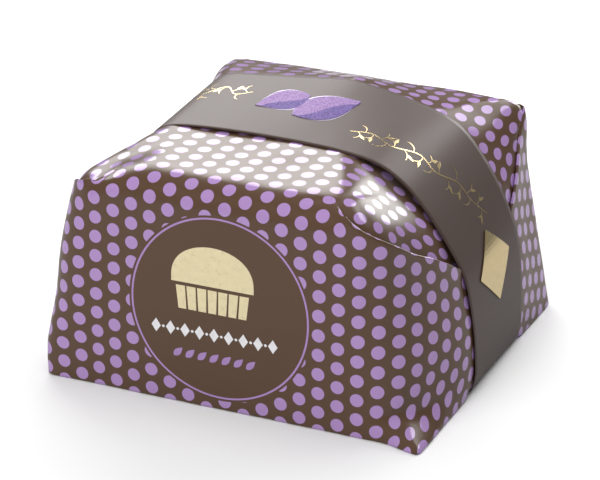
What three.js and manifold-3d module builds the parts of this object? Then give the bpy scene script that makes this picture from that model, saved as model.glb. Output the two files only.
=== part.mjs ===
// Hand-wrapped panettone: a baked loaf in its paper mould and clear bag, standing in a folded
// card cradle, parcelled in one sheet of wrapping paper and held by a stiff card band.
// Millimetres, +Z up, origin under the middle of the base, front face towards -Y.
import * as THREE from 'three';
import Module from 'manifold-3d';
import { mergeVertices } from 'three/addons/utils/BufferGeometryUtils.js';

const wasm = await Module();
wasm.setup();

// Driving dimensions of the parcel
const BASE_W = 251; // width of the foot, left to right
const BASE_D = 225; // depth of the foot, front to back
const SIDE_LEAN = Math.tan(THREE.MathUtils.degToRad(10.5)); // how far the ends lean in
const RIDGE_FRONT = 143; // height of the top's front edge, mid-width
const RIDGE_BACK = 138.5; // height of the top's back edge, mid-width
const RIDGE_CROWN = 9; // how much a ridge falls from mid-width to its corners
const RIDGE_ROLL = 6; // how far the sheet rolls down where it turns into a wall
const DOME_RISE = 11; // how far the loaf lifts the top, mid-depth
const DOME_SKEW = 2.05; // moves the highest point towards the back
const SHOULDER_DROP = { left: 28, right: 50 }; // extra fall of the rounded end shoulders
const SHOULDER_POWER = { left: 8, right: 3.4 }; // higher means a tighter shoulder
const CORNER_FLARE = 1.5; // outward kick of the foot's corners

// Stack under the loaf, from the table up
const GAP = 0.3; // clearance between touching pieces
const BAND_T = 0.8; // card of the band
const PAPER_T = 0.8; // folded paper, several layers in places
const CARD_T = 1.0; // cradle board
const FILM_T = 0.4; // clear bag
const MOULD_T = 0.7; // corrugated baking paper
const PAPER_Z = BAND_T + GAP;
const CARD_Z = PAPER_Z + PAPER_T + GAP;
const BAG_Z = CARD_Z + CARD_T + GAP;
const MOULD_Z = BAG_Z + FILM_T + GAP;
const LOAF_Z = MOULD_Z + MOULD_T + GAP;

// Band and tag
const BAND_FRONT = -33.5;
const BAND_BACK = 50;
const BAND_STAND_OFF = 1.3; // air under the band along the top
const BAND_BOW = { left: 3, right: 8 }; // how far it bows clear of each end

const TAG_T = 0.5;
const TAG_CORNERS = [[4, 0.47], [38, 0.35], [12, 0.23], [-13, 0.34]]; // depth, share up the end
const TAG_LIFT = 0.5; // clearance behind the tag

// Loaf, mould, bag and cradle
const MOULD_R = 103;
const MOULD_H = 72;
const PLEATS = 40;
const PLEAT_DEPTH = 0.8;
const NECK_R = 7;
const NECK_TOP = 148;
const CRADLE_H = 100;
const CRADLE_HALF = { foot: 84, top: 74 }; // half width of its two walls
const CRADLE_SLACK = 1.2; // air between its walls and the paper

// Domed crust over the mould's rim: [how far in from the loaf's side, how far above the rim]
const LOAF_CROWN = [
  [-1, 4], [-1, 8], [3, 18], [11, 28], [23, 38], [40, 48], [61, 56], [84, 60],
];
const LOAF_TOP = 62; // top of the dome above the rim
const BAG_AIR = 1; // air between mould and bag
const TIE_WALL = 1.6; // radial width of the clip
const TIE_H = 2;

// Label on the underside
const LABEL_W = 90;
const LABEL_D = 50;
const LABEL_R = 3;
const LABEL_T = 0.3;
const LABEL_Y = -72;

// Gap left between the paper's folds underneath, and how finely the sheets are divided
const FOLD_GAP_X = 60;
const FOLD_GAP_Y = 20;
const PAPER_COLUMNS = 16;
const BAND_ROWS = 5;
const BAND_FLOOR_STEPS = 3;
const BAND_SIDE_STEPS = 24;
const TAG_STEPS = 5;
const WALL_SHARE = 0.5; // share of a half section that is wall

// A closed mesh from triangles of points, with shared corners welded and slivers dropped
function weld(positions, index) {
  const geometry = new THREE.BufferGeometry();
  geometry.setAttribute('position', new THREE.Float32BufferAttribute(positions, 3));
  geometry.setIndex(index);
  const merged = mergeVertices(geometry, 1e-4);
  const { array } = merged.index;
  const kept = [];
  for (let i = 0; i < array.length; i += 3) {
    const [a, b, c] = [array[i], array[i + 1], array[i + 2]];
    if (a !== b && b !== c && c !== a) kept.push(a, b, c);
  }
  merged.setIndex(kept);
  return merged;
}

function plainCopy(geometry) {
  const plain = geometry.clone();
  plain.deleteAttribute('normal');
  plain.deleteAttribute('uv');
  const { position } = plain.attributes;
  const counted = Array.from({ length: position.count }, (_, i) => i);
  const index = plain.index ? Array.from(plain.index.array) : counted;
  return weld(Array.from(position.array), index);
}

// Keeps what two closed meshes share
function intersect(first, second) {
  const [a, b] = [first, second].map((geometry) => {
    const plain = plainCopy(geometry);
    const vertProperties = new Float32Array(plain.attributes.position.array);
    const triVerts = new Uint32Array(plain.index.array);
    return new wasm.Manifold(new wasm.Mesh({ numProp: 3, vertProperties, triVerts }));
  });
  const mesh = a.intersect(b).getMesh();
  return weld(Array.from(mesh.vertProperties), Array.from(mesh.triVerts));
}

// Unit normals of a point grid, averaged over the faces that meet at each point.
// rows[i][j] are Vector3; `round` wraps the columns.
function gridNormals(rows, round) {
  const normals = rows.map((row) => row.map(() => new THREE.Vector3()));
  const columns = rows[0].length;
  const a = new THREE.Vector3();
  const b = new THREE.Vector3();
  for (let i = 0; i < rows.length - 1; i += 1) {
    for (let j = 0; j < (round ? columns : columns - 1); j += 1) {
      const k = (j + 1) % columns;
      a.subVectors(rows[i + 1][k], rows[i][j]);
      b.subVectors(rows[i + 1][j], rows[i][k]);
      a.cross(b);
      for (const [r, c] of [[i, j], [i, k], [i + 1, j], [i + 1, k]]) normals[r][c].add(a);
    }
  }
  return normals.map((row) => row.map((n) => n.normalize()));
}

// A sheet of even thickness: the given grid is its outer face and the inner face lies
// `thickness` behind it. `round` wraps the columns; `pole` is the way the last row faces
// where that row is squeezed to one point.
function thickSheet(rows, thickness, { round = false, pole = null } = {}) {
  const normals = gridNormals(rows, round);
  const columns = rows[0].length;
  const last = rows.length - 1;
  const points = [];
  for (const p of rows.flat()) points.push(p.x, p.y, p.z);
  rows.forEach((row, i) => row.forEach((p, j) => {
    const n = pole && i === last ? pole : normals[i][j];
    const q = p.clone().addScaledVector(n, -thickness);
    points.push(q.x, q.y, q.z);
  }));
  const inner = rows.length * columns;
  const at = (i, j) => i * columns + (j % columns);
  const index = [];
  const quad = (a, b, c, d) => index.push(a, b, c, a, c, d);
  const lastColumn = round ? columns : columns - 1;
  for (let j = 0; j < lastColumn; j += 1) {
    for (let i = 0; i < last; i += 1) {
      const [a, b, c, d] = [at(i, j), at(i, j + 1), at(i + 1, j + 1), at(i + 1, j)];
      quad(a, b, c, d);
      quad(inner + a, inner + d, inner + c, inner + b);
    }
    quad(at(0, j + 1), at(0, j), inner + at(0, j), inner + at(0, j + 1));
    if (!pole) quad(at(last, j), at(last, j + 1), inner + at(last, j + 1), inner + at(last, j));
  }
  for (let i = 0; i < last && !round; i += 1) {
    quad(at(i, 0), at(i + 1, 0), inner + at(i + 1, 0), inner + at(i, 0));
    const [near, far] = [at(i, columns - 1), at(i + 1, columns - 1)];
    quad(far, near, inner + near, inner + far);
  }
  return weld(points, index);
}

// Circles of points about the upright axis, one for each [radius, height] of a profile that
// runs from the top down; `ripple` pleats a circle by that much
function circles(profile, count, ripple = 0, waves = 0) {
  return profile.map(([radius, z]) => Array.from({ length: count }, (_, j) => {
    const turn = (2 * Math.PI * j) / count;
    const r = radius + (radius > 0 ? ripple * Math.cos(waves * turn) : 0);
    return new THREE.Vector3(r * Math.cos(turn), -r * Math.sin(turn), z);
  }));
}

// ---- Shape of the wrapped parcel -------------------------------------------------------

const wallX = (z) => BASE_W / 2 - SIDE_LEAN * z;

// Height of the top along the middle line, at depth share t (-1 front ... 1 back)
function spineHeight(t) {
  const straight = THREE.MathUtils.lerp(RIDGE_FRONT, RIDGE_BACK, (t + 1) / 2);
  return straight + DOME_RISE * (1 - t * t) * (1 + DOME_SKEW * t);
}

// How the top falls towards one end, and the height of the edge where it meets the wall
function shoulder(side, t) {
  const middle = (1 - t * t) ** 0.65;
  const drop = RIDGE_CROWN + SHOULDER_DROP[side] * middle;
  const power = 2 + (SHOULDER_POWER[side] - 2) * middle;
  return { drop, power, edge: spineHeight(t) - drop };
}

// A point on the parcel's top: s and t run from -1 to 1 across its width and depth
function topPoint(s, t) {
  const { drop, power, edge } = shoulder(s < 0 ? 'left' : 'right', t);
  const roll = RIDGE_ROLL * Math.max(0, (Math.abs(t) - 0.9) / 0.1) ** 2;
  const z = spineHeight(t) - drop * Math.abs(s) ** power - roll;
  return new THREE.Vector3(s * wallX(edge), (t * BASE_D) / 2, z);
}

// A point on the foot's outline
function footPoint(s, t) {
  const kick = CORNER_FLARE * (s * t) ** 4;
  return new THREE.Vector3((s * BASE_W) / 2 + kick * s, (t * BASE_D) / 2 + kick * t, PAPER_Z);
}

// The outline of the square from -1 to 1, anticlockwise from above, as [s, t] pairs
function squareOutline(perSide) {
  return Array.from({ length: perSide * 4 }, (_, i) => {
    const f = ((i % perSide) / perSide) * 2 - 1;
    return [[f, -1], [1, f], [-f, 1], [-1, -f]][Math.floor(i / perSide)];
  });
}

// ---- Pieces ----------------------------------------------------------------------------

// One sheet: from the gap left between the folds underneath, out to the foot, up the walls
// and over the top
function wrappingPaper() {
  const outline = squareOutline(PAPER_COLUMNS);
  const foot = outline.map(([s, t]) => footPoint(s, t));
  const edge = outline.map(([s, t]) => topPoint(s, t));
  const middle = (BAND_FRONT + BAND_BACK) / 2;
  const rows = [
    outline.map(([s, t]) => new THREE.Vector3(s * FOLD_GAP_X, middle + t * FOLD_GAP_Y, PAPER_Z)),
    foot,
  ];
  for (const share of [0.12, 0.35, 0.6, 0.85]) {
    rows.push(foot.map((p, i) => p.clone().lerp(edge[i], share)));
  }
  for (const ring of [1, 0.96, 0.9, 0.8, 0.66, 0.5, 0.3, 0.12, 0]) {
    rows.push(outline.map(([s, t]) => topPoint(s * ring, t * ring)));
  }
  return thickSheet(rows, PAPER_T, { round: true, pole: new THREE.Vector3(0, 0, 1) });
}

// Half of the parcel's outline across its width at depth share t: u runs 0 at the foot to 1
// at the middle of the top
function halfSection(side, t, u) {
  const { edge } = shoulder(side, t);
  if (u < WALL_SHARE) {
    const z = THREE.MathUtils.lerp(PAPER_Z, edge, u / WALL_SHARE);
    return new THREE.Vector2(wallX(z), z);
  }
  const p = topPoint(((1 - u) / (1 - WALL_SHARE)) * (side === 'left' ? -1 : 1), t);
  return new THREE.Vector2(Math.abs(p.x), p.z);
}

// The band's outer face over one end: it stands a little off the paper and bows clear of
// the wall
function bandSide(side, y, u, lift = 0) {
  const t = (2 * y) / BASE_D;
  const step = 0.01;
  const after = halfSection(side, t, Math.min(1, u + step));
  const run = after.sub(halfSection(side, t, Math.max(0, u - step)));
  const outwards = new THREE.Vector2(run.y, -run.x).normalize();
  const bow = BAND_BOW[side] * Math.sin(Math.PI * Math.min(1, u / 0.75)) ** 0.8;
  const p = halfSection(side, t, u).addScaledVector(outwards, BAND_STAND_OFF + BAND_T + bow + lift);
  return new THREE.Vector3(side === 'left' ? -p.x : p.x, y, p.y);
}

// A closed loop of card: flat under the foot, up both ends and over the top
function cardBand() {
  const heel = BASE_W / 2 + BAND_STAND_OFF;
  const rows = [];
  for (let i = 0; i <= BAND_ROWS; i += 1) {
    const y = THREE.MathUtils.lerp(BAND_BACK, BAND_FRONT, i / BAND_ROWS);
    const row = [];
    for (let j = -BAND_FLOOR_STEPS; j <= BAND_FLOOR_STEPS; j += 1) {
      row.push(new THREE.Vector3((heel * j) / BAND_FLOOR_STEPS, y, 0));
    }
    for (let j = 0; j <= BAND_SIDE_STEPS; j += 1) row.push(bandSide('right', y, j / BAND_SIDE_STEPS));
    for (let j = BAND_SIDE_STEPS - 1; j >= 0; j -= 1) row.push(bandSide('left', y, j / BAND_SIDE_STEPS));
    rows.push(row);
  }
  return thickSheet(rows, BAND_T, { round: true });
}

// A four-cornered tag that follows the band's right end
function goldTag() {
  const [high, back, low, front] = TAG_CORNERS;
  const rows = [];
  for (let i = 0; i <= TAG_STEPS; i += 1) {
    const [a, b] = [i / TAG_STEPS, 1 - i / TAG_STEPS];
    const row = [];
    for (let j = 0; j <= TAG_STEPS; j += 1) {
      const [c, d] = [j / TAG_STEPS, 1 - j / TAG_STEPS];
      const y = b * (d * high[0] + c * front[0]) + a * (d * back[0] + c * low[0]);
      const u = b * (d * high[1] + c * front[1]) + a * (d * back[1] + c * low[1]);
      row.push(bandSide('right', y, u, TAG_LIFT + TAG_T));
    }
    rows.push(row);
  }
  return thickSheet(rows, TAG_T);
}

// A bare paper label on the underside, in front of the band
function baseLabel() {
  const shape = new THREE.Shape();
  const [w, d, r] = [LABEL_W / 2, LABEL_D / 2, LABEL_R];
  shape.moveTo(-w + r, -d);
  shape.lineTo(w - r, -d);
  shape.absarc(w - r, -d + r, r, -Math.PI / 2, 0);
  shape.absarc(w - r, d - r, r, 0, Math.PI / 2);
  shape.absarc(-w + r, d - r, r, Math.PI / 2, Math.PI);
  shape.absarc(-w + r, -d + r, r, Math.PI, Math.PI * 1.5);
  return new THREE.ExtrudeGeometry(shape, { depth: LABEL_T, bevelEnabled: false, curveSegments: 4 });
}

// One folded card: a floor with a front and a back wall, their ends cut to the parcel's lean
function cardCradle() {
  const outer = BASE_D / 2 - PAPER_T - CRADLE_SLACK;
  const inner = outer - CARD_T;
  const top = CRADLE_H;
  const profile = new THREE.Shape([
    [-outer, CARD_Z], [outer, CARD_Z], [outer, top], [inner, top],
    [inner, CARD_Z + CARD_T], [-inner, CARD_Z + CARD_T], [-inner, top], [-outer, top],
  ].map(([y, z]) => new THREE.Vector2(y, z)));
  const channel = new THREE.ExtrudeGeometry(profile, { depth: BASE_W, bevelEnabled: false });
  channel.rotateX(Math.PI / 2).rotateZ(Math.PI / 2).translate(-BASE_W / 2, 0, 0);
  const { foot, top: narrow } = CRADLE_HALF;
  const lean = new THREE.Shape([
    [-foot, 0], [foot, 0], [narrow, top + 1], [-narrow, top + 1],
  ].map(([x, z]) => new THREE.Vector2(x, z)));
  const block = new THREE.ExtrudeGeometry(lean, { depth: BASE_D, bevelEnabled: false });
  block.rotateX(Math.PI / 2).translate(0, BASE_D / 2, 0);
  return intersect(channel, block);
}

// The baked loaf: a straight crumb below, in the mould, and a domed crust above it
function loaf() {
  const rim = LOAF_Z + MOULD_H;
  const r = MOULD_R - MOULD_T - PLEAT_DEPTH - GAP;
  const profile = [
    [0, LOAF_Z], [r - 4, LOAF_Z], [r - 1, LOAF_Z + 3], [r, LOAF_Z + 12], [r, rim],
    ...LOAF_CROWN.map(([inset, rise]) => [r - inset, rim + rise]),
    [0, rim + LOAF_TOP],
  ];
  const geometry = new THREE.LatheGeometry(profile.map(([x, z]) => new THREE.Vector2(x, z)), 48);
  return geometry.rotateX(Math.PI / 2);
}

// A pleated paper cup with a flat floor
function bakingMould() {
  const side = [[MOULD_R, MOULD_Z + MOULD_H], [MOULD_R, MOULD_Z + 30], [MOULD_R, MOULD_Z + 3]];
  const rows = [
    ...circles(side, PLEATS * 4, PLEAT_DEPTH, PLEATS),
    ...circles([[MOULD_R - 3, MOULD_Z], [0, MOULD_Z]], PLEATS * 4),
  ];
  return thickSheet(rows, MOULD_T, { round: true, pole: new THREE.Vector3(0, 0, -1) });
}

// A film bag round the loaf, gathered to a short open neck
function clearBag() {
  const r = MOULD_R + PLEAT_DEPTH + FILM_T + BAG_AIR;
  const rim = MOULD_Z + MOULD_H;
  const profile = [
    [NECK_R + 2, NECK_TOP], [NECK_R, NECK_TOP - 2.5], [NECK_R + 1, NECK_TOP - 5],
    [22, rim + 66], [44, rim + 60], [65, rim + 51], [83, rim + 40], [94, rim + 30],
    [r - 4, rim + 18.5], [r - 0.5, rim + 8], [r, rim - 4], [r, BAG_Z + 2], [r - 2, BAG_Z], [0, BAG_Z],
  ];
  return thickSheet(circles(profile, 48), FILM_T, { round: true, pole: new THREE.Vector3(0, 0, -1) });
}

// A flat clip closed round the bag's neck
function bagTie() {
  const [inside, outside] = [NECK_R + 1, NECK_R + 1 + TIE_WALL];
  const [low, high] = [NECK_TOP - 1.6 - TIE_H, NECK_TOP - 1.6];
  const section = [[inside, low], [outside, low], [outside, high], [inside, high], [inside, low]];
  const geometry = new THREE.LatheGeometry(section.map(([x, z]) => new THREE.Vector2(x, z)), 24);
  return geometry.rotateX(Math.PI / 2);
}

// ---- Assembly --------------------------------------------------------------------------

const parcel = new THREE.Group();

function add(name, geometry, color, roughness, metalness = 0) {
  const material = new THREE.MeshStandardMaterial({ color, roughness, metalness });
  const mesh = new THREE.Mesh(plainCopy(geometry), material);
  mesh.name = name;
  parcel.add(mesh);
  return mesh;
}

add('wrapping_paper', wrappingPaper(), 0x6a5848, 0.3);
add('card_band', cardBand(), 0x6f6460, 0.5);
add('gold_tag', goldTag(), 0xd9c27e, 0.25, 1);
add('base_label', baseLabel(), 0xf1ede4, 0.6).position.set(0, LABEL_Y, PAPER_Z - GAP - LABEL_T);
add('card_cradle', cardCradle(), 0xb9a284, 0.85);
add('clear_bag', clearBag(), 0xf2f5f5, 0.1);
add('bag_tie', bagTie(), 0xc9a546, 0.35, 1);
add('baking_mould', bakingMould(), 0x5a3a22, 0.8);
add('loaf', loaf(), 0x8a4f1f, 0.75);

export default parcel;
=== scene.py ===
# %% [markdown]
# # A gift-wrapped panettone
#
# This notebook dresses a measured model in real materials. The model arrives as
# a fixed frame: nine named solids of a wrapped festive cake, in metres, with +X
# to the right, -Y towards the front and +Z up. The hard work here is the
# wrapping: one sheet of printed satin paper, folded round a round cake on a
# square base, with a wide card band pulled over it.
#
# First the frame is loaded, and its box is kept and its size printed. First the
# frame is loaded and its box is kept, because nothing that is made afterwards
# may outgrow it.

# %% Load the measured frame
import math

import bpy
import bmesh
import numpy as np
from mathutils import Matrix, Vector


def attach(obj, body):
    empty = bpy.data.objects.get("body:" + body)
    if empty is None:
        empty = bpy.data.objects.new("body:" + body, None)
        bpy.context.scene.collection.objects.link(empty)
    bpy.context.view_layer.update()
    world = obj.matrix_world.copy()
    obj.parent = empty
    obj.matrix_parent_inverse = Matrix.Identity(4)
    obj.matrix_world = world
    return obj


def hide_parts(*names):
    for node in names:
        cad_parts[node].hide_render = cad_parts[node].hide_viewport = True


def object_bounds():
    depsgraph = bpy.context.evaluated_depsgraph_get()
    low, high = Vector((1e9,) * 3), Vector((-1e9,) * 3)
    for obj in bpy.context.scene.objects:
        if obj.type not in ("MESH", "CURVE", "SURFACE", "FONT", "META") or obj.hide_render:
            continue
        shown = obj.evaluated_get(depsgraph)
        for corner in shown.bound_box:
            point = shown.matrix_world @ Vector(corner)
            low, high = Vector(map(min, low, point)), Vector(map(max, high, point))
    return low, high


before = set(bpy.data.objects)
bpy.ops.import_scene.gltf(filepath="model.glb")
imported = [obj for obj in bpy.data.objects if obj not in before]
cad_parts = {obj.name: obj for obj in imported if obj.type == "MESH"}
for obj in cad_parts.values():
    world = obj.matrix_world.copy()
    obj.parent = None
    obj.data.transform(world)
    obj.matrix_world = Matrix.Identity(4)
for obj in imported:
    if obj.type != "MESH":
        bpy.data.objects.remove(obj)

MM = 0.001
measured_box = [list(map(float, corner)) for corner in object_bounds()]
span = [round((high - low) / MM, 1) for low, high in zip(*measured_box)]
print("measured model, mm:", span)


# %% Helpers for objects
def add_object(name, data):
    thing = bpy.data.objects.new(name, data)
    bpy.context.collection.objects.link(thing)
    return thing


def face_towards(thing, direction):
    thing.rotation_euler = Vector(direction).to_track_quat("-Z", "Y").to_euler()


def thicken(thing, thickness, side):
    """Give a sheet a thickness in mm, outwards (side 1) or inwards (side -1)."""
    solid = thing.modifiers.new("thickness", "SOLIDIFY")
    solid.thickness = thickness * MM
    solid.offset = side

# %% [markdown]
# ## The camera, the floor and the lights
#
# A package like this is usually seen from a little above and to the right, with
# a long lens, so that its upright edges stay upright. Satin paper shows what it
# reflects more than what lights it. Three soft boxes stand behind the object,
# with dark gaps between them. Seen from the front they mirror in the top of the
# paper: one washes out the flat left part, one draws a bright patch on the
# rounded right shoulder, and one catches the corner behind it. Two broad boxes,
# in front and overhead, give the print its even colour and show in no mirror
# image.
#
# The floor is pale, and a pale floor mirrored in dark satin card would wash its
# brown out to grey. So the floor shows its full brightness to the eye and about
# half of it in mirror images, as a floor with a soft fall-off would.

# %% Camera
camera_data = bpy.data.cameras.new("camera")
camera_data.lens = 156
camera_data.sensor_width = 36
camera = add_object("camera", camera_data)
camera.location = (0.6046, -1.3640, 0.7174)
face_towards(camera, (-0.373, 0.837, -0.399))
bpy.context.scene.camera = camera
bpy.context.scene.view_settings.view_transform = "Standard"
print("camera at", [round(v, 3) for v in camera.location])


# %% Nodes in a few words
def new_material(name, roughness=0.5, specular=0.5, metallic=0.0):
    material = bpy.data.materials.new(name)
    material.use_nodes = True
    tree = material.node_tree
    tree.nodes.clear()
    surface = tree.nodes.new("ShaderNodeBsdfPrincipled")
    surface.inputs["Roughness"].default_value = roughness
    surface.inputs["Specular IOR Level"].default_value = specular
    surface.inputs["Metallic"].default_value = metallic
    output = tree.nodes.new("ShaderNodeOutputMaterial")
    tree.links.new(surface.outputs[0], output.inputs["Surface"])
    return material, tree, surface


def feed(tree, socket, value):
    """Link a socket to another node's output, or set its plain value."""
    if isinstance(value, bpy.types.NodeSocket):
        tree.links.new(value, socket)
    elif value is not None:
        if socket.type == "RGBA" and len(value) == 3:
            value = (*value, 1.0)
        socket.default_value = value


def maths(tree, operation, *values):
    node = tree.nodes.new("ShaderNodeMath")
    node.operation = operation
    for socket, value in zip(node.inputs, values):
        feed(tree, socket, value)
    return node.outputs[0]


def vectors(tree, operation, *values):
    node = tree.nodes.new("ShaderNodeVectorMath")
    node.operation = operation
    for socket, value in zip(node.inputs, values):
        feed(tree, socket, value)
    scalar = operation in ("LENGTH", "DOT_PRODUCT", "DISTANCE")
    return node.outputs["Value" if scalar else "Vector"]


def step_down(tree, value, edge, soft):
    """1 below the edge and 0 above it, with a soft rim."""
    node = tree.nodes.new("ShaderNodeMapRange")
    node.interpolation_type = "SMOOTHSTEP"
    feed(tree, node.inputs["Value"], value)
    node.inputs["From Min"].default_value = edge - soft
    node.inputs["From Max"].default_value = edge + soft
    node.inputs["To Min"].default_value = 1
    node.inputs["To Max"].default_value = 0
    return node.outputs["Result"]


def blend(tree, factor, first, second):
    node = tree.nodes.new("ShaderNodeMix")
    node.data_type = "RGBA"
    feed(tree, node.inputs["Factor"], factor)
    feed(tree, node.inputs["A"], first)
    feed(tree, node.inputs["B"], second)
    return node.outputs["Result"]


def level(tree, factor, first, second):
    """Slide a number from first to second as the factor goes from 0 to 1."""
    return maths(tree, "MULTIPLY_ADD", factor, second - first, first)


def drawn_place(tree, layer):
    """Where a point lies on one of the flat drawings."""
    node = tree.nodes.new("ShaderNodeUVMap")
    node.uv_map = layer
    return node.outputs["UV"]


def noise(tree, place, scale, detail=2.0):
    node = tree.nodes.new("ShaderNodeTexNoise")
    feed(tree, node.inputs["Vector"], place)
    feed(tree, node.inputs["Scale"], scale)
    node.inputs["Detail"].default_value = detail
    return node.outputs["Fac"]


def bump(tree, surface, height, distance, strength=1.0):
    node = tree.nodes.new("ShaderNodeBump")
    node.inputs["Distance"].default_value = distance * MM
    node.inputs["Strength"].default_value = strength
    feed(tree, node.inputs["Height"], height)
    feed(tree, surface.inputs["Normal"], node.outputs["Normal"])


# %% Shader node groups
def use_group(tree, group, **values):
    node = tree.nodes.new("ShaderNodeGroup")
    node.node_tree = group
    for name, value in values.items():
        feed(tree, node.inputs[name.replace("_", " ")], value)
    return node.outputs


def new_group(name, inputs, outputs):
    group = bpy.data.node_groups.new(name, "ShaderNodeTree")
    for title, kind, default in inputs:
        socket = group.interface.new_socket(title, in_out="INPUT", socket_type="NodeSocket" + kind)
        if default is not None:
            socket.default_value = default
    for title, kind in outputs:
        group.interface.new_socket(title, in_out="OUTPUT", socket_type="NodeSocket" + kind)
    return group, group.nodes.new("NodeGroupInput").outputs, group.nodes.new("NodeGroupOutput").inputs

# %% Floor
FLOOR_SIZE = 12.0
FLOOR_SEEN, FLOOR_MIRRORED = (0.86, 0.86, 0.86), (0.45, 0.45, 0.45)


def make_floor():
    mesh = bpy.data.meshes.new("floor")
    half = FLOOR_SIZE / 2
    corners = [(-half, -half, 0), (half, -half, 0), (half, half, 0), (-half, half, 0)]
    mesh.from_pydata(corners, [], [(0, 1, 2, 3)])
    floor = add_object("floor", mesh)
    material, tree, surface = new_material("pale floor", roughness=0.9, specular=0.0)
    ray = tree.nodes.new("ShaderNodeLightPath")
    colour = blend(tree, ray.outputs["Is Glossy Ray"], FLOOR_SEEN, FLOOR_MIRRORED)
    feed(tree, surface.inputs["Base Color"], colour)
    mesh.materials.append(material)
    return floor


floor = make_floor()
print("floor", FLOOR_SIZE, "m square")


# %% Lights
def soft_box(name, place, aim, size, watts, mirrored=True):
    light = bpy.data.lights.new(name, "AREA")
    light.shape = "RECTANGLE"
    light.size, light.size_y = size
    light.energy = watts
    lamp = add_object(name, light)
    lamp.location = place
    face_towards(lamp, Vector(aim) - Vector(place))
    lamp.visible_glossy = mirrored


soft_box("top wash", (-0.84, 1.08, 0.98), (-0.05, -0.05, 0.12), (1.1, 0.95), 14)
soft_box("shoulder stripe", (0.23, 1.2, 0.46), (0.08, -0.06, 0.13), (0.44, 0.62), 5)
soft_box("corner glint", (0.47, 0.86, 1.05), (0.09, 0.07, 0.13), (0.9, 0.34), 4.5)
soft_box("front fill", (-0.4, -1.9, 1.3), (0, 0, 0.05), (1.8, 1.4), 30, mirrored=False)
soft_box("overhead", (0.1, -0.1, 1.9), (0, 0, 0), (1.8, 1.8), 22, mirrored=False)

world = bpy.data.worlds.new("studio")
world.use_nodes = True
bpy.context.scene.world = world
air = world.node_tree.nodes["Background"]
air.inputs["Color"].default_value = (1, 1, 1, 1)
air.inputs["Strength"].default_value = 0.2

# %% [markdown]
# ## The wrapped body
#
# The paper follows a body that nothing names: a square foot, a round cake and
# air between them. It could be sculpted by hand, or draped in a cloth
# simulation, but gift paper is folded, not draped: it is stiff, it doesn't
# stretch, and its ridges are placed on purpose. So the body is written down as
# five soft-edged limits: a front, a back, a right and a left wall, and a
# ceiling. Where two limits meet, a soft maximum rounds the edge, and the
# softness says how round: tight on the back ridge, wide on the right shoulder.
#
# All lengths in this part are millimetres.


# %% Soft tools
def ease(start, end, value):
    """0 before the start, 1 after the end, and a smooth rise between."""
    t = np.clip((np.asarray(value, float) - start) / (end - start), 0, 1)
    return t * t * (3 - 2 * t)


def soft_max(a, b, softness):
    """The larger of two numbers, with a round blend where they are close."""
    overlap = np.maximum(softness - np.abs(a - b), 0) / softness
    return np.maximum(a, b) + overlap * overlap * softness / 4


def through(points, value):
    """A smooth curve through a few given points."""
    x, y = np.array(points, float).T
    slope = np.gradient(y, x)
    value = np.clip(value, x[0], x[-1])
    i = np.clip(np.searchsorted(x, value) - 1, 0, len(x) - 2)
    gap = x[i + 1] - x[i]
    t = (value - x[i]) / gap
    rise = (1 + 2 * t) * (1 - t) ** 2 * y[i] + t * t * (3 - 2 * t) * y[i + 1]
    return rise + t * (1 - t) * gap * ((1 - t) * slope[i] - t * slope[i + 1])

# %% The ceiling
CROWN = [(-130, 143.2), (-100, 143.4), (-70, 144.2), (-33, 146.2), (8, 151.6), (30, 154.4),
         (50, 156.8), (62, 155.6), (80, 150.5), (105, 142.6), (130, 139)]
TENT_TOP, TENT_RIGHT, TENT_LEFT = 8.0, 0.19, 0.09
CORNER_DIP = 9.0


def ceiling(x, y):
    """A crown over the cake that falls to both sides, and sinks at the front left corner."""
    tent = ease(-60, 45, y) * (1 - ease(55, 108, y))
    dip = CORNER_DIP * ease(55, 98, -x) * ease(-113, -100, y) * (1 - ease(-84, -40, y))
    fall = TENT_RIGHT * np.maximum(x - TENT_TOP, 0) + TENT_LEFT * np.maximum(TENT_TOP - x, 0)
    return through(CROWN, y) - dip - tent * fall


print("ceiling over the middle, mm:", round(float(ceiling(0, 0)), 1))

# %% [markdown]
# The front and back walls are almost upright. The right wall leans in, bellies
# out over the cradle and is pulled in towards the front corner. The left wall
# leans in as well, swells at both ends and has a waist in the middle. Where the
# band presses on it, the paper gives way a little.

# %% The four walls
HALF_DEPTH, RIGHT_WALL, LEFT_WALL = 112.6, 126.5, 127.0
WALL_LEAN = 0.187
BELLY = [(-10, -2), (0, -1), (13, 2.4), (25, 4.4), (45, 6.2), (75, 5.6), (100, 6.5), (150, 7)]
FOOT_FLARE, CORNER_PULL, EAR = 6.0, 14.0, 3.2
SWELL_NEAR, SWELL_FAR, WAIST, LEFT_CORNER_PULL = 12.0, 1.5, 12.8, 2.1
PRESSED_RIGHT, PRESSED_LEFT = 2.6, 3.6


def right_wall(y, z, under_band):
    pull = CORNER_PULL * ease(0, 16, z) * (1 - 0.4 * ease(85, 130, z)) * (np.maximum(-y - 33, 0) / 60) ** 2
    tail = np.clip(1 - (np.maximum(y - 40, 0) / 72) ** 2, -0.2, 1)
    ear = EAR * ease(92, 112, y) * ease(96, 132, z)
    pressed = PRESSED_RIGHT * under_band * (1 - ease(0, 7, z))
    return RIGHT_WALL - WALL_LEAN * z + through(BELLY, z) * tail + ear - pull - pressed


def left_wall(y, z, under_band):
    height = np.clip(z, 0, 150)
    near, far = ease(35, 95, -y), ease(35, 95, y)
    swell = (SWELL_NEAR * near + SWELL_FAR * far) * np.sin(np.pi * height / 170)
    pressed = PRESSED_LEFT * under_band * (1 - ease(0, 10, z))
    waist = WAIST * (height / 140) ** 1.5 * (1 - near) * (1 - far) + pressed
    pull = LEFT_CORNER_PULL * near * (1 - ease(100, 140, z))
    return LEFT_WALL - pull - WALL_LEAN * z + swell - waist


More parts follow.
